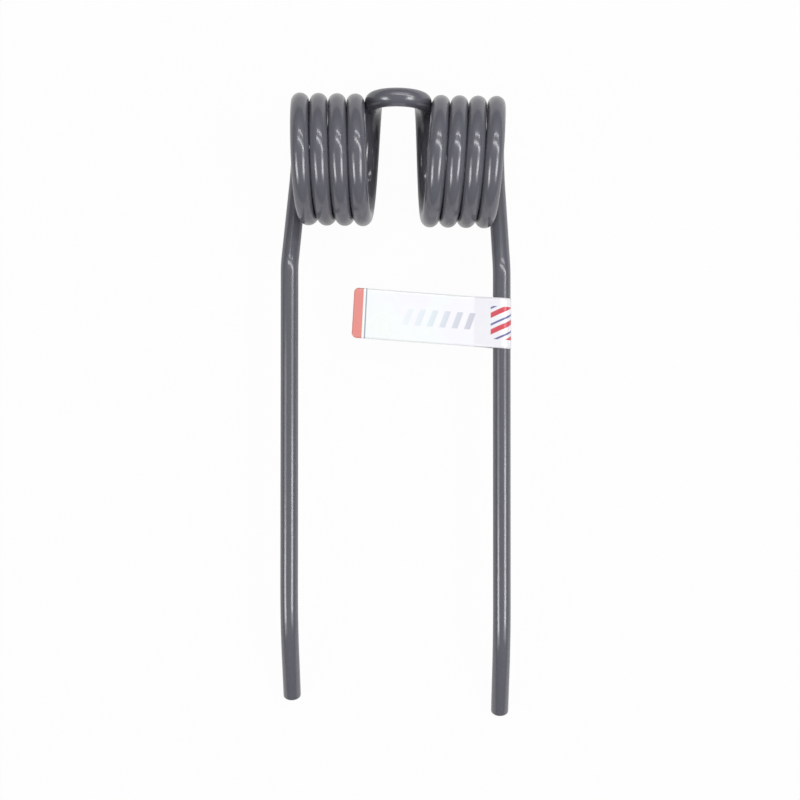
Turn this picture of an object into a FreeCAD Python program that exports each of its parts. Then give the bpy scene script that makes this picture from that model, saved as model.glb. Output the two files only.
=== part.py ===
import FreeCAD, Part
import math
import os
import Sketcher
from FreeCAD import Placement, Rotation, Vector

# Spring tine of a baler pick-up: two coils and two long fingers, bent from one round wire,
# and the film label that is folded round one finger and stuck to itself like a flag.
# It lies on its coils and finger tips: coil axis along X, fingers towards -Y, and the origin
# on the surface under the middle of the tine. Millimetres and degrees.

doc = FreeCAD.newDocument("pickup_tine")
sizes = doc.addObject("Spreadsheet::Sheet", "sizes")
driving_sizes = {
    # Wire and coils
    "wire_diameter": 6.0,
    "coil_inner_diameter": 31.5,
    "turn_gap": 0.08,
    "full_turns": 4,
    # How far past its coil's rearmost point the wire leaves for the finger
    "leave_angle": 22.0,
    # Bolt loop between the coils
    "loop_inner_width": 10.5,
    "loop_straight": 3.8,
    "loop_rise_angle": 1.6,
    # Fingers, measured from bend point to bend point
    "upper_finger_length": 29.8,
    "knee_inner_radius": 12.5,
    "left_finger_length": 121.0,
    "right_finger_length": 124.8,
    "finger_forward_angle": 2.5,
    "finger_lean_angle": 1.0,
    # Bent tips
    "tip_inner_radius": 52.0,
    "tip_back_angle": 22.5,
    "left_tip_length": 30.1,
    "right_tip_length": 30.5,
    "left_tip_lean_angle": 1.1,
    "right_tip_lean_angle": 1.3,
    "end_rounding": 0.6,
    # Folded film label
    "label_from_knee": 18.7,
    "label_height": 17.0,
    "label_flag_length": 50.4,
    "label_film": 0.15,
    "label_clearance": 0.04,
    "label_gusset_length": 9.5,
    "label_tilt_angle": 3.2,
    "label_corner_radius": 1.6,
}
for row, (name, value) in enumerate(driving_sizes.items(), start=1):
    sizes.set(f"A{row}", name)
    sizes.set(f"B{row}", str(value))
    sizes.setAlias(f"B{row}", name)
doc.recompute()


def size(name):
    return float(sizes.get(name))


LEFT = -1
RIGHT = 1
ALONG_X = Vector(1, 0, 0)
ALONG_Y = Vector(0, 1, 0)
ALONG_Z = Vector(0, 0, 1)
ARCS_PER_TURN = 8
wire_radius = size("wire_diameter") / 2
coil_radius = size("coil_inner_diameter") / 2 + wire_radius
pitch = size("wire_diameter") + size("turn_gap")
loop_half_width = (size("loop_inner_width") + size("wire_diameter")) / 2
first_turn_x = loop_half_width + size("full_turns") * pitch

# The wire's path is a chain of corner points, each rounded by a tangent arc. Until the tine is
# laid down at the end, the origin is on the coils' axis, halfway between the coils.
# Angles round a coil count from its top, at +Y, over its front, at +Z.
start_angle = -90 - size("leave_angle")
end_angle = 360 * size("full_turns") - size("loop_rise_angle")
coil_arcs = round((end_angle - start_angle) / 360 * ARCS_PER_TURN)
arc_step = (end_angle - start_angle) / coil_arcs


# A coil's corners climb a helix just outside the wire's centreline. The coils mirror each other.
def coil_corner(side, index):
    angle = start_angle + (index + 0.5) * arc_step
    turn = math.radians(angle)
    corner_radius = coil_radius / math.cos(math.radians(arc_step / 2))
    x = side * (first_turn_x - pitch * angle / 360)
    return Vector(x, corner_radius * math.cos(turn), corner_radius * math.sin(turn))


def rounded_corner(start, corner, end, radius):
    arriving = (corner - start).normalize()
    leaving = (end - corner).normalize()
    half_turn = arriving.getAngle(leaving) / 2
    setback = radius * math.tan(half_turn)
    inside = (leaving - arriving).normalize()
    middle = corner + inside * (radius / math.cos(half_turn) - radius)
    return Part.Arc(corner - arriving * setback, middle, corner + leaving * setback)


# In a coil no straight is left: each arc starts and ends halfway between two corners.
def coil(side):
    corners = [coil_corner(side, index) for index in range(-1, coil_arcs + 1)]
    edges = []
    for before, corner, after in zip(corners, corners[1:], corners[2:]):
        setback = (corner - before).Length / 2
        half_turn = (corner - before).getAngle(after - corner) / 2
        arc = rounded_corner(before, corner, after, setback / math.tan(half_turn))
        edges.append(arc.toShape())
    return edges


def finger_direction(lean_angle, forward_angle):
    sideways = math.tan(math.radians(lean_angle))
    forward = math.tan(math.radians(forward_angle))
    return Vector(sideways, -1, forward).normalize()


def finger_corners(side):
    name = "left" if side == LEFT else "right"
    outer, inner = coil_corner(side, -1), coil_corner(side, 0)
    leave = (outer + inner) / 2
    upper = (outer - inner).normalize()
    lower = finger_direction(size("finger_lean_angle"), size("finger_forward_angle"))
    tip = finger_direction(size(f"{name}_tip_lean_angle"), -size("tip_back_angle"))
    knee = leave + upper * size("upper_finger_length")
    tip_bend = knee + lower * size(f"{name}_finger_length")
    return [leave, knee, tip_bend, tip_bend + tip * size(f"{name}_tip_length")]


def finger(corners):
    leave, knee, tip_bend, end = corners
    knee_arc = rounded_corner(leave, knee, tip_bend, size("knee_inner_radius") + wire_radius)
    tip_arc = rounded_corner(knee, tip_bend, end, size("tip_inner_radius") + wire_radius)
    return [
        Part.LineSegment(leave, knee_arc.StartPoint).toShape(),
        knee_arc.toShape(),
        Part.LineSegment(knee_arc.EndPoint, tip_arc.StartPoint).toShape(),
        tip_arc.toShape(),
        Part.LineSegment(tip_arc.EndPoint, end).toShape(),
    ]


# The loop is flat: each coil's last turn runs on straight, and one wide arc joins the two.
def bolt_loop():
    inner, outer = coil_corner(LEFT, coil_arcs - 1), coil_corner(LEFT, coil_arcs)
    start = (inner + outer) / 2
    direction = (outer - inner).normalize()
    arc_start = start + direction * size("loop_straight")
    inward = math.asin(direction.x)
    radius = -arc_start.x / math.cos(inward)
    outward = Vector(0, direction.y, direction.z).normalize()
    crown = Vector(0, arc_start.y, arc_start.z) + outward * (radius * (1 - math.sin(inward)))
    arc_end = Vector(-arc_start.x, arc_start.y, arc_start.z)
    return [
        Part.LineSegment(start, arc_start).toShape(),
        Part.Arc(arc_start, crown, arc_end).toShape(),
        Part.LineSegment(arc_end, Vector(-start.x, start.y, start.z)).toShape(),
    ]


left_corners = finger_corners(LEFT)
right_corners = finger_corners(RIGHT)
path_edges = finger(left_corners) + coil(LEFT) + bolt_loop() + coil(RIGHT) + finger(right_corners)
centreline = doc.addObject("Part::Feature", "wire_centreline")
centreline.Shape = Part.Wire(Part.__sortEdges__(path_edges))

# The wire: its round section swept along the whole path, with the two cut ends eased.
end_corner, end = right_corners[2:]
section = doc.addObject("Part::Circle", "wire_section")
section.setExpression("Radius", "sizes.wire_diameter / 2")
section.Placement = Placement(end, Rotation(ALONG_Z, end_corner - end))

bent_wire = doc.addObject("Part::Sweep", "bent_wire")
bent_wire.Sections = [section]
bent_wire.Spine = (centreline, [f"Edge{count}" for count in range(1, len(path_edges) + 1)])
bent_wire.Solid = True
bent_wire.Frenet = True
doc.recompute()

finger_ends = [left_corners[-1], right_corners[-1]]
end_edges = [
    count
    for count, edge in enumerate(bent_wire.Shape.Edges, start=1)
    if min((edge.CenterOfMass - point).Length for point in finger_ends) < wire_radius / 10
]
tine = doc.addObject("Part::Fillet", "tine")
tine.Base = bent_wire
tine.Edges = [(count, size("end_rounding"), size("end_rounding")) for count in end_edges]
tine.Label = "tine"

# The label's fold, seen along the finger: round the wire, closing to two layers beside it.
# The sketch's origin is the finger's axis, and the flag points along its +X.
film = size("label_film")
inner_radius = wire_radius + size("label_clearance")
outer_radius = inner_radius + film
gusset = size("label_gusset_length")
spread = math.asin(inner_radius / gusset)
shoulder = gusset + film * math.tan(spread / 2)
film_end = size("label_flag_length") + size("label_height")
wrap_angles = (math.pi / 2 - spread, 3 * math.pi / 2 + spread)
fold = doc.addObject("Sketcher::SketchObject", "label_fold")


def wrap_arc(radius):
    circle = Part.Circle(Vector(0, 0, 0), ALONG_Z, radius)
    arc = fold.addGeometry(Part.ArcOfCircle(circle, *wrap_angles))
    fold.addConstraint(Sketcher.Constraint("Coincident", arc, 3, -1, 1))
    return arc


def fold_line(start, end):
    return fold.addGeometry(Part.LineSegment(Vector(*start), Vector(*end)))


def leaving_point(radius, upwards):
    return (radius * math.sin(spread), upwards * radius * math.cos(spread))


def bind(name, rule, *constraint):
    index = fold.addConstraint(Sketcher.Constraint(*constraint))
    fold.renameConstraint(index, name)
    fold.setExpression(f"Constraints.{name}", rule)


inner_wrap = wrap_arc(inner_radius)
inner_front = fold_line(leaving_point(inner_radius, 1), (gusset, 0))
inner_back = fold_line(leaving_point(inner_radius, -1), (gusset, 0))
outer_wrap = wrap_arc(outer_radius)
outer_front = fold_line(leaving_point(outer_radius, 1), (shoulder, film))
outer_back = fold_line(leaving_point(outer_radius, -1), (shoulder, -film))
flag_front = fold_line((shoulder, film), (film_end, film))
flag_back = fold_line((shoulder, -film), (film_end, -film))
flag_end = fold_line((film_end, film), (film_end, -film))
for constraint in [
    ("Tangent", inner_wrap, 1, inner_front, 1),
    ("Tangent", inner_wrap, 2, inner_back, 1),
    ("Tangent", outer_wrap, 1, outer_front, 1),
    ("Tangent", outer_wrap, 2, outer_back, 1),
    ("Coincident", inner_front, 2, inner_back, 2),
    ("Coincident", outer_front, 2, flag_front, 1),
    ("Coincident", outer_back, 2, flag_back, 1),
    ("Coincident", flag_front, 2, flag_end, 1),
    ("Coincident", flag_back, 2, flag_end, 2),
    ("PointOnObject", inner_front, 2, -1),
    ("Parallel", inner_front, outer_front),
    ("Parallel", inner_back, outer_back),
    ("Horizontal", flag_front),
    ("Horizontal", flag_back),
    ("Vertical", flag_end),
]:
    fold.addConstraint(Sketcher.Constraint(*constraint))
wrap_rule = "sizes.wire_diameter / 2 + sizes.label_clearance"
bind("inner_radius", wrap_rule, "Radius", inner_wrap, inner_radius)
bind("outer_radius", f"{wrap_rule} + sizes.label_film", "Radius", outer_wrap, outer_radius)
bind("gusset", "sizes.label_gusset_length", "DistanceX", -1, 1, inner_front, 2, gusset)
bind("front_layer", "sizes.label_film", "DistanceY", -1, 1, flag_front, 1, film)
bind("back_layer", "sizes.label_film", "DistanceY", flag_back, 1, -1, 1, film)
end_rule = "sizes.label_flag_length + sizes.label_height"
bind("film_end", end_rule, "DistanceX", -1, 1, flag_front, 2, film_end)

folded_film = doc.addObject("Part::Extrusion", "folded_film")
folded_film.Base = fold
folded_film.DirMode = "Normal"
folded_film.Solid = True
folded_film.Symmetric = True
folded_film.setExpression("LengthFwd", end_rule)

# The strip's outline cuts the fold to size: tilted on the finger, its far corners rounded.
strip = doc.addObject("Part::Box", "label_strip")
strip.setExpression("Length", "sizes.label_flag_length + sizes.wire_diameter")
strip.setExpression("Width", "sizes.wire_diameter * 2")
strip.setExpression("Height", "sizes.label_height")
strip.setExpression("Placement.Base.x", "-sizes.wire_diameter")
strip.setExpression("Placement.Base.y", "-sizes.wire_diameter")
strip.setExpression("Placement.Base.z", "-sizes.label_height / 2")
doc.recompute()

far_corners = [
    count
    for count, edge in enumerate(strip.Shape.Edges, start=1)
    if edge.CenterOfMass.x > 0 and edge.Curve.Direction.cross(ALONG_Y).Length < 0.5
]
rounded_strip = doc.addObject("Part::Fillet", "rounded_strip")
rounded_strip.Base = strip
corner_radius = size("label_corner_radius")
rounded_strip.Edges = [(count, corner_radius, corner_radius) for count in far_corners]
rounded_strip.Placement = Placement(Vector(0, 0, 0), Rotation(-ALONG_Y, 0))
rounded_strip.setExpression("Placement.Rotation.Angle", "sizes.label_tilt_angle")

label = doc.addObject("Part::Common", "label")
label.Base = folded_film
label.Tool = rounded_strip
label.Label = "label"
doc.recompute()

# The label sits on the right finger, its flag pointing to the other finger.
knee, tip_bend = right_corners[1:3]
down_finger = (tip_bend - knee).normalize()
label_place = Placement(
    knee + down_finger * size("label_from_knee"),
    Rotation(-ALONG_X, Vector(0, 0, 0), -down_finger, "ZXY"),
)


# How far a finger's eased end reaches downwards when the tine is turned about the coils' axis.
def end_depth(corners, angle):
    down = Vector(0, -math.sin(math.radians(angle)), -math.cos(math.radians(angle)))
    bend, end = corners[2:]
    direction = (end - bend).normalize()
    ease = size("end_rounding")
    slope = math.sqrt(1 - direction.dot(down) ** 2)
    return (end - direction * ease).dot(down) + (wire_radius - ease) * slope + ease


# Laid down, the tine turns until its lower finger end is as low as the coils. Each step turns
# it by the drop that is left, over the longer finger's reach.
reach = max(corners[-1].Length for corners in (left_corners, right_corners))
rest_angle = 0
drop = reach
while abs(drop) > reach / 1e12:
    depth = max(end_depth(corners, rest_angle) for corners in (left_corners, right_corners))
    drop = coil_radius + wire_radius - depth
    rest_angle += math.degrees(drop / reach)
laid = Placement(Vector(0, 0, 0), Rotation(ALONG_X, rest_angle))
whole = Part.makeCompound(
    [
        tine.Shape.transformed(laid.toMatrix()),
        label.Shape.transformed(laid.multiply(label_place).toMatrix()),
    ]
)
extent = whole.optimalBoundingBox(False, False)
laid.Base = Vector(-extent.Center.x, -extent.Center.y, -extent.ZMin)
tine.Placement = laid
label.Placement = laid.multiply(label_place)
doc.recompute()

for item in doc.Objects:
    if "Invalid" in item.State or "Error" in item.State:
        raise RuntimeError(f"{item.Name} failed")
os.makedirs("parts", exist_ok=True)
for node in (tine, label):
    if node.Shape.isNull() or not node.Shape.isValid() or len(node.Shape.Solids) != 1:
        raise RuntimeError(f"{node.Label} is not one valid solid")
    node.Shape.exportStep(f"parts/{node.Label}.step")
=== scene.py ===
import math

import bmesh
import bpy
from mathutils import Euler, Matrix, Vector


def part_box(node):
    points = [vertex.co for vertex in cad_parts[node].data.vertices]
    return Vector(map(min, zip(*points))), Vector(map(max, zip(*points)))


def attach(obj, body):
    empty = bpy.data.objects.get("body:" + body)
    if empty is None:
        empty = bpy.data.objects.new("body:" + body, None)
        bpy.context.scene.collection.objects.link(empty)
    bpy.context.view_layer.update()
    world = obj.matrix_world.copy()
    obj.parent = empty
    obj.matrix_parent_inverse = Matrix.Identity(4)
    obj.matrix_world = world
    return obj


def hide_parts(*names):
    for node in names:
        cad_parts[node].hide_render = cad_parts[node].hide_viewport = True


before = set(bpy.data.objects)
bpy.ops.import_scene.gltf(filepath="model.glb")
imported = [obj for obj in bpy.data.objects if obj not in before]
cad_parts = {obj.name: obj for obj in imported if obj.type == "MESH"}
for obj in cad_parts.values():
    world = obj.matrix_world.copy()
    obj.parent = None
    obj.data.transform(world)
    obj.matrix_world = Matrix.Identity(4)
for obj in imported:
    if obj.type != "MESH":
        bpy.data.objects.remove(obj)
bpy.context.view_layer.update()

# Spring tine
# One length of round spring wire, wound cold into two mirrored coils with a flat bolt loop
# between them and drawn out into two fingers with bent tips. It is dipped in glossy paint.
wire_radius = 0.0030
coil_radius = 0.01875
coil_pitch = 0.00608
full_turns = 4
leave_angle = math.radians(22)
loop_half_width = 0.00825
loop_straight = 0.0038
loop_rise = math.radians(1.6)
upper_length = 0.0298
knee_radius = 0.0155
finger_lean = math.radians(1.0)
finger_forward = math.radians(2.5)
tip_radius = 0.055
tip_back = math.radians(22.5)
end_rounding = 0.0006
rest_angle = math.radians(2.0678)
left_finger = {"length": 0.1210, "tip_length": 0.0301, "tip_lean": math.radians(1.1)}
right_finger = {"length": 0.1248, "tip_length": 0.0305, "tip_lean": math.radians(1.3)}

ring_sides = 48
end_segments = 6
bend_step = math.radians(5)
weld_distance = 0.000001
X_AXIS = Vector((1, 0, 0))

# Angles round a coil count from its top, at +Y, over its front, at +Z. The wire's slope in a
# coil is that of the chords of arcs of about an eighth of a turn.
coil_start = 2 * math.pi * full_turns - loop_rise
coil_turned = coil_start + math.pi / 2 + leave_angle
coil_arc = coil_turned / round(coil_turned / math.radians(45))
arc_advance = coil_pitch * coil_arc / (2 * math.pi)
coil_slope = math.atan(arc_advance / (2 * coil_radius * math.tan(coil_arc / 2)))
wire = bmesh.new()


def parts_of(geometry, kind):
    return [item for item in geometry if isinstance(item, kind)]


def ring_centre(ring):
    corners = parts_of(ring, bmesh.types.BMVert)
    return sum((corner.co for corner in corners), Vector()) / len(corners)


# The wire is drawn on from its last ring: straight, round a bend, or along a coil.
def draw_wire(ring, centre, axis, angle, slide):
    steps = max(1, round(angle / bend_step))
    drawn = bmesh.ops.spin(
        wire, geom=ring, cent=centre, axis=axis, angle=angle, dvec=slide / steps, steps=steps
    )
    return parts_of(drawn["geom_last"], (bmesh.types.BMVert, bmesh.types.BMEdge))


def feed(ring, heading, length):
    return draw_wire(ring, Vector(), X_AXIS, 0, heading * length)


def bend(ring, heading, new_heading, radius):
    axis = heading.cross(new_heading).normalized()
    centre = ring_centre(ring) + axis.cross(heading) * radius
    return draw_wire(ring, centre, axis, heading.angle(new_heading), Vector())


def finger_heading(lean, forward):
    return Vector((math.tan(lean), -1, math.tan(forward))).normalized()


def setback(heading, new_heading, radius):
    return radius * math.tan(heading.angle(new_heading) / 2)


# The cut end is closed and its edge is eased.
def close_end(ring):
    rim = parts_of(ring, bmesh.types.BMEdge)
    bmesh.ops.contextual_create(wire, geom=rim)
    bmesh.ops.bevel(
        wire,
        geom=rim,
        affect="EDGES",
        offset=end_rounding,
        segments=end_segments,
        profile=0.5,
        material=-1,
    )


coil_tangent = Vector((0, -math.sin(coil_start), math.cos(coil_start)))
coil_end = Vector((0, math.cos(coil_start), math.sin(coil_start))) * coil_radius
loop_start = loop_half_width + coil_pitch * loop_rise / (2 * math.pi)
loop_start -= loop_straight * math.sin(coil_slope)
loop_radius = loop_start / math.cos(coil_slope)
crown = coil_end + coil_tangent * loop_straight * math.cos(coil_slope)
crown += coil_tangent * loop_radius * (1 - math.sin(coil_slope))

bmesh.ops.create_circle(
    wire,
    segments=ring_sides,
    radius=wire_radius,
    matrix=Matrix.Translation(crown) @ Matrix.Rotation(math.pi / 2, 4, "Y"),
)
crown_ring = list(wire.verts) + list(wire.edges)
for side, finger in ((-1, left_finger), (1, right_finger)):
    outward = Vector((side, 0, 0))
    heading = outward * math.sin(coil_slope) - coil_tangent * math.cos(coil_slope)
    ring = bend(crown_ring, outward, heading, loop_radius)
    ring = feed(ring, heading, loop_straight)
    climb = outward * coil_pitch * coil_turned / (2 * math.pi)
    ring = draw_wire(ring, Vector(), -X_AXIS, coil_turned, climb)

    upper = Matrix.Rotation(-coil_turned, 3, "X") @ heading
    lower = finger_heading(finger_lean, finger_forward)
    tip = finger_heading(finger["tip_lean"], -tip_back)
    knee_setback = setback(upper, lower, knee_radius)
    tip_setback = setback(lower, tip, tip_radius)
    ring = feed(ring, upper, upper_length - knee_setback)
    ring = bend(ring, upper, lower, knee_radius)
    if side == 1:
        knee = ring_centre(ring) - lower * knee_setback
    ring = feed(ring, lower, finger["length"] - knee_setback - tip_setback)
    ring = bend(ring, lower, tip, tip_radius)
    ring = feed(ring, tip, finger["tip_length"] - tip_setback)
    close_end(ring)

# It is laid down as it comes to rest, in the middle of the place that the frame gives it.
bmesh.ops.remove_doubles(wire, verts=wire.verts, dist=weld_distance)
bmesh.ops.recalc_face_normals(wire, faces=wire.faces)
tilted = Matrix.Rotation(rest_angle, 4, "X")
bmesh.ops.transform(wire, matrix=tilted, verts=wire.verts)
lowest = Vector([min(corner.co[axis] for corner in wire.verts) for axis in range(3)])
highest = Vector([max(corner.co[axis] for corner in wire.verts) for axis in range(3)])
place_low, place_high = (Vector(corner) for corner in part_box("tine"))
shift = (place_low + place_high - lowest - highest) / 2
bmesh.ops.translate(wire, vec=shift, verts=wire.verts)
laid_down = Matrix.Translation(shift) @ tilted
for face in wire.faces:
    face.smooth = len(face.verts) == 4
tine_mesh = bpy.data.meshes.new("tine_wire")
wire.to_mesh(tine_mesh)
wire.free()
tine = bpy.data.objects.new("tine_wire", tine_mesh)
bpy.context.collection.objects.link(tine)


class Signal:
    """One output in a node tree, used in sums as if it were a number."""

    def __init__(self, owner, socket=None):
        self.owner = owner
        self.socket = socket

    def node(self, kind, output=0, settings=(), inputs=()):
        """Adds a node: first its settings or a ramp's stops, then its sockets' values or links."""
        added = self.owner.node_tree.nodes.new(kind)
        for name, value in dict(settings).items():
            if name == "stops":
                ramp = added.color_ramp
                while len(ramp.elements) < len(value):
                    ramp.elements.new(1)
                for element, (position, colour) in zip(ramp.elements, value):
                    element.position = position
                    element.color = (*colour, 1)
            else:
                setattr(added, name, value)
        for name, value in dict(inputs).items():
            socket = added.inputs[name]
            if isinstance(value, Signal):
                self.owner.node_tree.links.new(value.socket, socket)
            elif socket.type == "RGBA":
                socket.default_value = (*value, 1)
            else:
                socket.default_value = value
        return Signal(self.owner, added.outputs[output])

    def maths(self, operation, other=0.0, reflected=False):
        first, second = (other, self) if reflected else (self, other)
        return self.node("ShaderNodeMath", 0, {"operation": operation}, {0: first, 1: second})

    def blend(self, first, second):
        """Two colours, mixed by this signal."""
        settings = {"data_type": "RGBA"}
        return self.node("ShaderNodeMix", 2, settings, {0: self, 6: first, 7: second})

    def __add__(self, other):
        return self.maths("ADD", other)

    def __radd__(self, other):
        return self.maths("ADD", other, reflected=True)

    def __sub__(self, other):
        return self.maths("SUBTRACT", other)

    def __rsub__(self, other):
        return self.maths("SUBTRACT", other, reflected=True)

    def __mul__(self, other):
        return self.maths("MULTIPLY", other)

    def __rmul__(self, other):
        return self.maths("MULTIPLY", other, reflected=True)

    def __mod__(self, other):
        return self.maths("FLOORED_MODULO", other)

    def __abs__(self):
        return self.maths("ABSOLUTE")


def new_material(name):
    material = bpy.data.materials.new(name)
    material.use_nodes = True
    material.node_tree.nodes.clear()
    return Signal(material)


def finish_material(signal, shader):
    output = signal.owner.node_tree.nodes.new("ShaderNodeOutputMaterial")
    signal.owner.node_tree.links.new(shader.socket, output.inputs["Surface"])
    return signal.owner


# Glossy dark grey enamel: it dries a shade uneven, with a faint orange peel and a few grains
# of dust under its skin.
thin_coat = (0.125, 0.125, 0.149)
full_coat = (0.112, 0.112, 0.134)
dust_grey = (0.16, 0.16, 0.18)
paint = new_material("dark_grey_enamel")
on_wire = paint.node("ShaderNodeTexCoord", "Object")
drift = paint.node(
    "ShaderNodeTexNoise", "Fac", inputs={"Vector": on_wire, "Scale": 90.0, "Detail": 3.0}
)
peel = paint.node(
    "ShaderNodeTexNoise", "Fac", inputs={"Vector": on_wire, "Scale": 700.0, "Detail": 1.0}
)
grain = paint.node(
    "ShaderNodeTexNoise", "Fac", inputs={"Vector": on_wire, "Scale": 2600.0, "Detail": 0.0}
)
dust = paint.node(
    "ShaderNodeMapRange", 0, inputs={"Value": grain, "From Min": 0.74, "From Max": 0.80}
)
enamel_colour = dust.blend(drift.blend(thin_coat, full_coat), dust_grey)
enamel_skin = paint.node(
    "ShaderNodeBump", inputs={"Height": peel + dust * 0.6, "Strength": 0.05, "Distance": 0.00004}
)
enamel = paint.node(
    "ShaderNodeBsdfPrincipled",
    inputs={
        "Base Color": enamel_colour,
        "Roughness": 0.15 + drift * 0.06,
        "IOR": 1.5,
        "Coat Weight": 0.5,
        "Coat Roughness": 0.12,
        "Normal": enamel_skin,
    },
)
tine_mesh.materials.append(finish_material(paint, enamel))
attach(tine, "root")
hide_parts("tine")

# Label
# A strip of printed film, white with a silvery gloss. It is folded round the right finger and
# stuck to itself, so that it stands out towards the other finger like a flag.
film = 0.00015
glue_gap = 0.00004
label_height = 0.0170
flag_length = 0.0504
gusset_length = 0.0095
label_from_knee = 0.0187
label_tilt = math.radians(3.2)
corner_radius = 0.0016
ripple_height = 0.00035
ripples_along = 190
ripples_across = 60
end_curl = 0.0006
column_width = 0.0005
row_height = 0.00085
corner_cuts = 8

# Seen along the finger, the film's middle runs straight, opens at the gusset, and wraps the wire.
wrap_radius = wire_radius + glue_gap + film / 2
spread = math.asin(wrap_radius / gusset_length)
flag_run = flag_length - gusset_length
gusset_run = gusset_length * math.cos(spread)
wrap_run = wrap_radius * (math.pi + 2 * spread)
film_run = 2 * flag_run + 2 * gusset_run + wrap_run


# A point of the flat film, folded: how far out along the flag it comes, and how far in front.
def fold(along):
    if along > film_run / 2:
        out, front = fold(film_run - along)
        return out, -front
    if along < flag_run:
        return flag_length - along, film / 2
    if along < flag_run + gusset_run:
        up_slope = along - flag_run
        return gusset_length - up_slope * math.cos(spread), up_slope * math.sin(spread)
    turn = math.pi / 2 - spread + (along - flag_run - gusset_run) / wrap_radius
    return wrap_radius * math.cos(turn), wrap_radius * math.sin(turn)


# It is cut from flat film with its corners rounded, and printed before it is folded.
strip = bmesh.new()
columns = round(film_run / column_width)
rows = round(label_height / row_height)
bmesh.ops.create_grid(strip, x_segments=columns, y_segments=rows, size=0.5)
bmesh.ops.scale(strip, vec=(film_run, label_height, 1), verts=strip.verts)
bmesh.ops.translate(strip, vec=(film_run / 2, 0, 0), verts=strip.verts)
for end in (-1, 1):
    for edge in (-1, 1):
        pivot = Vector((film_run / 2 + end * (film_run / 2 - corner_radius), 0, 0))
        pivot.y = edge * (label_height / 2 - corner_radius)
        for cut in range(1, corner_cuts):
            turn = math.pi / 2 * cut / corner_cuts
            away = Vector((end * math.cos(turn), edge * math.sin(turn), 0))
            bmesh.ops.bisect_plane(
                strip,
                geom=list(strip.verts) + list(strip.edges) + list(strip.faces),
                plane_co=pivot + away * corner_radius,
                plane_no=away,
                clear_outer=True,
            )
print_place = strip.loops.layers.uv.new("print_place")
for face in strip.faces:
    for loop in face.loops:
        loop[print_place].uv = (loop.vert.co.x, loop.vert.co.y)

# The flag hangs a little askew from the gusset on, with soft ripples and a curl at its end.
for corner in strip.verts:
    along, up = corner.co.x, corner.co.y
    out, front = fold(along)
    free = max(0, out - gusset_length) / flag_run
    ripple = ripple_height * free * math.sin(out * ripples_along + up * ripples_across)
    lean = max(0, out) / flag_length
    corner.co = Vector(
        (
            out * math.cos(label_tilt * free) - up * math.sin(label_tilt) * lean,
            front + ripple + end_curl * free ** 2,
            up * math.cos(label_tilt) + out * math.sin(label_tilt),
        )
    )
bmesh.ops.recalc_face_normals(strip, faces=strip.faces)

label_basis = Matrix((-X_AXIS, lower.cross(X_AXIS), -lower)).transposed()
label_place = laid_down @ Matrix.Translation(knee + lower * label_from_knee)
bmesh.ops.transform(strip, matrix=label_place @ label_basis.to_4x4(), verts=strip.verts)
for face in strip.faces:
    face.smooth = True
label_mesh = bpy.data.meshes.new("flag_label")
strip.to_mesh(label_mesh)
strip.free()
label = bpy.data.objects.new("flag_label", label_mesh)
bpy.context.collection.objects.link(label)
thickness = label.modifiers.new("film", "SOLIDIFY")
thickness.thickness = film
thickness.offset = 0

# The print: a red end, a thin line beside it, slanted bars along the flag that fade from dark
# to pale, and stripes round the finger. Both halves of the strip are printed alike. The white
# between the inks carries a faint painted sheen of pale tints.
red_end_width = 0.0033
thin_line_place = (0.0041, 0.0045)
bar_slant = 0.35
bar_pitch = 0.0042
bar_place = (0.0008, 0.0028)
bar_half_height = 0.0028
bars_along = (0.0170, 0.0415)
stripe_slant = 0.5
stripe_pitch = 0.0056
red_stripe_place = (0.0004, 0.0022)
blue_stripe_place = (0.0034, 0.0041)
stripe_half_height = 0.0056
stripes_from = flag_run + gusset_run - 0.0030
red_end_ink = (0.76, 0.25, 0.22)
line_ink = (0.18, 0.20, 0.26)
pale_bar_ink = (0.30, 0.62, 0.72)
dark_bar_ink = (0.16, 0.18, 0.28)
red_ink = (0.66, 0.05, 0.08)
blue_ink = (0.07, 0.07, 0.30)

ink = new_material("printed_film")
place = ink.node("ShaderNodeUVMap", settings={"uv_map": "print_place"})
flat_x = ink.node("ShaderNodeSeparateXYZ", "X", inputs={"Vector": place})
flat_y = ink.node("ShaderNodeSeparateXYZ", "Y", inputs={"Vector": place})
on_film = ink.node("ShaderNodeTexCoord", "Object")
from_end = film_run / 2 - abs(flat_x - film_run / 2)


def band(signal, low, high, soft=0.00006):
    """1 where the signal lies between two values, with a soft edge of ink."""
    rise = signal.node(
        "ShaderNodeMapRange",
        inputs={"Value": signal, "From Min": low - soft, "From Max": low + soft},
    )
    fall = signal.node(
        "ShaderNodeMapRange",
        inputs={"Value": signal, "From Min": high - soft, "From Max": high + soft},
    )
    return rise - fall


red_end = band(from_end, -0.001, red_end_width)
thin_line = band(from_end, *thin_line_place, soft=0.00008)
slanted = from_end - flat_y * bar_slant
bars = band(slanted % bar_pitch, *bar_place, soft=0.00012)
bars = bars * band(flat_y, -bar_half_height, bar_half_height) * band(slanted, *bars_along)
along_bars = ink.node(
    "ShaderNodeMapRange",
    inputs={"Value": slanted, "From Min": bars_along[0], "From Max": bars_along[1]},
)
bar_colour = along_bars.blend(pale_bar_ink, dark_bar_ink)
round_finger = (flat_y - from_end * stripe_slant) % stripe_pitch
stripe_field = band(flat_y, -stripe_half_height, stripe_half_height)
stripe_field = stripe_field * band(from_end, stripes_from, film_run)
red_stripes = band(round_finger, *red_stripe_place, soft=0.0001) * stripe_field
blue_stripes = band(round_finger, *blue_stripe_place, soft=0.0001) * stripe_field

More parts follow.
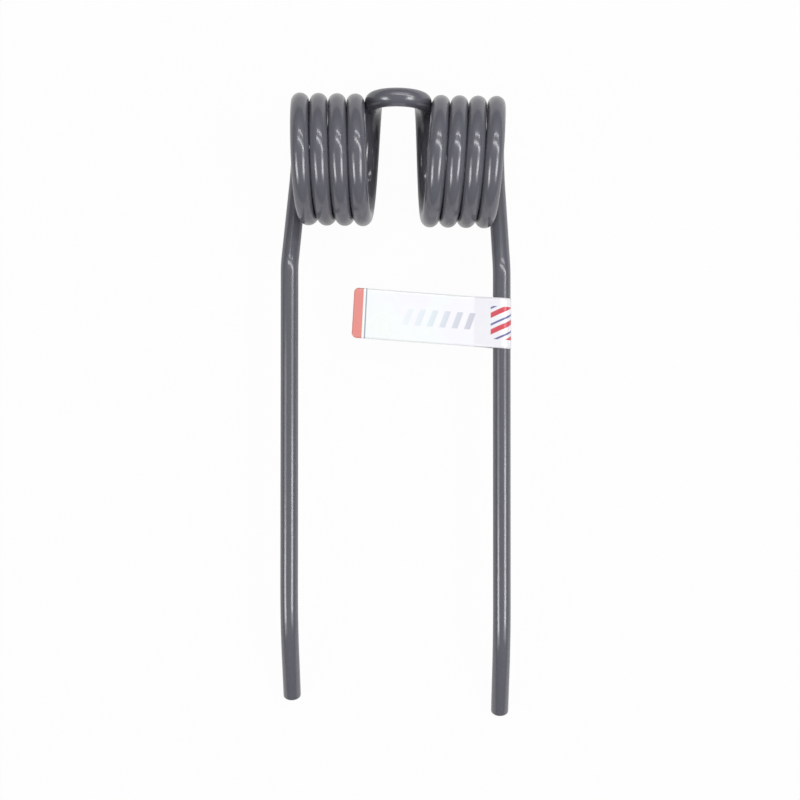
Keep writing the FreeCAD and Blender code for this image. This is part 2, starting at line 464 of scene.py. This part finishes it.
shimmer = ink.node(
    "ShaderNodeTexNoise",
    "Fac",
    inputs={"Vector": on_film, "Scale": 60.0, "Detail": 2.0, "Distortion": 0.8},
)
# Painted sheen: pale shifting tints in the film's colour stand in for its silvery reflection.
painted_sheen_colour = ink.node(
    "ShaderNodeValToRGB",
    "Color",
    settings={
        "stops": (
            (0.30, (0.86, 0.87, 0.91)),
            (0.42, (0.87, 0.86, 0.91)),
            (0.55, (0.87, 0.89, 0.91)),
            (0.70, (0.86, 0.90, 0.89)),
        )
    },
    inputs={"Fac": shimmer},
)
film_colour = (red_end * 0.95).blend(painted_sheen_colour, red_end_ink)
film_colour = (thin_line * 0.8).blend(film_colour, line_ink)
film_colour = (bars * (along_bars * 0.32 + 0.10)).blend(film_colour, bar_colour)
film_colour = (red_stripes * 0.95).blend(film_colour, red_ink)
film_colour = (blue_stripes * 0.9).blend(film_colour, blue_ink)
film_bump = ink.node(
    "ShaderNodeBump", inputs={"Height": shimmer, "Strength": 0.3, "Distance": 0.0003}
)
printed = ink.node(
    "ShaderNodeBsdfPrincipled",
    inputs={
        "Base Color": film_colour,
        "Roughness": 0.22 + shimmer * 0.08,
        "IOR": 1.5,
        "Coat Weight": 0.5,
        "Coat Roughness": 0.08,
        "Normal": film_bump,
    },
)
label_mesh.materials.append(finish_material(ink, printed))
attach(label, "root")
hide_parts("label")

# Floor
# A wide white sheet. The camera sees it white, the gloss sees it pale, and it keeps a faint
# shadow.
floor_half_width = 3.0
camera_share = 0.97
gloss_share = 0.34
sheet_white = (0.55, 0.55, 0.55)
ground = bmesh.new()
bmesh.ops.create_grid(ground, x_segments=1, y_segments=1, size=floor_half_width)
floor_mesh = bpy.data.meshes.new("floor")
ground.to_mesh(floor_mesh)
ground.free()
floor = bpy.data.objects.new("floor", floor_mesh)
bpy.context.collection.objects.link(floor)
sheet = new_material("white_floor")
rays = ("Is Camera Ray", "Is Glossy Ray", "Is Transmission Ray")
by_camera, by_gloss, by_glass = (sheet.node("ShaderNodeLightPath", ray) for ray in rays)
seen = by_camera * camera_share + (by_gloss + by_glass) * gloss_share
matt = sheet.node("ShaderNodeBsdfDiffuse", inputs={"Color": sheet_white})
glow = sheet.node("ShaderNodeEmission", inputs={"Color": (1, 1, 1), "Strength": 1.0})
floor_shader = sheet.node("ShaderNodeMixShader", inputs={0: seen, 1: matt, 2: glow})
floor_mesh.materials.append(finish_material(sheet, floor_shader))

# Light
# A dim even room that the camera sees white. A tall soft box stands at each side, brighter in
# its core, with two long tubes beyond the coils and a faint panel above them.
room_light = 0.09
room_seen = 0.98
light_distance = 1.2
lit_point = Vector((0, 0.02, 0.02))

world = bpy.data.worlds.new("studio")
world.use_nodes = True
bpy.context.scene.world = world
background = world.node_tree.nodes["Background"]
background.inputs["Color"].default_value = (1, 1, 1, 1)
by_camera = Signal(world).node("ShaderNodeLightPath", "Is Camera Ray")
room = by_camera * (room_seen - room_light) + room_light
world.node_tree.links.new(room.socket, background.inputs["Strength"])


def toward(across, up):
    """A direction by its angles across and up the photograph, from straight above."""
    across, up = math.radians(across), math.radians(up)
    flat = math.cos(up)
    return Vector((math.sin(across) * flat, math.sin(up), math.cos(across) * flat))


def soft_light(name, first, last, thickness_angle, radiance):
    start, end = toward(*first) * light_distance, toward(*last) * light_distance
    lamp = bpy.data.lights.new(name, "AREA")
    lamp.shape = "RECTANGLE"
    lamp.size = (end - start).length
    lamp.size_y = light_distance * math.radians(thickness_angle)
    lamp.energy = radiance * math.pi * lamp.size * lamp.size_y
    lamp_object = bpy.data.objects.new(name, lamp)
    bpy.context.collection.objects.link(lamp_object)
    centre = (start + end) / 2
    along = (end - start).normalized()
    facing = centre.normalized()
    turned = Matrix((along, facing.cross(along), facing)).transposed().to_4x4()
    lamp_object.matrix_world = Matrix.Translation(lit_point + centre) @ turned


soft_light("left_box", (-49, 4), (-49, -40), 26, 2.1)
soft_light("left_core", (-49, -9), (-49, -32), 17, 5.8)
soft_light("right_box", (42, 18), (42, -35), 26, 2.25)
soft_light("right_core", (42, -1), (42, -26), 17, 5.8)
soft_light("upper_tube", (-18, 40.5), (43, 31.5), 3.4, 8.8)
soft_light("lower_tube", (-26, 27.5), (52, 11), 4.6, 7.8)
soft_light("ceiling", (0, 64), (0, 12), 70, 0.16)

# Camera
# Where the photograph was taken from: almost straight above.
camera_place = (0.001482, 0.001898, 0.466452)
camera_turn = (0.2116, 0.0742, 1.0164)
lens = bpy.data.cameras.new("camera")
lens.lens = 60.12
lens.clip_start = 0.01
camera = bpy.data.objects.new("camera", lens)
bpy.context.collection.objects.link(camera)
camera.location = camera_place
camera.rotation_euler = Euler([math.radians(angle) for angle in camera_turn])
bpy.context.scene.camera = camera
bpy.context.scene.view_settings.view_transform = "Standard"
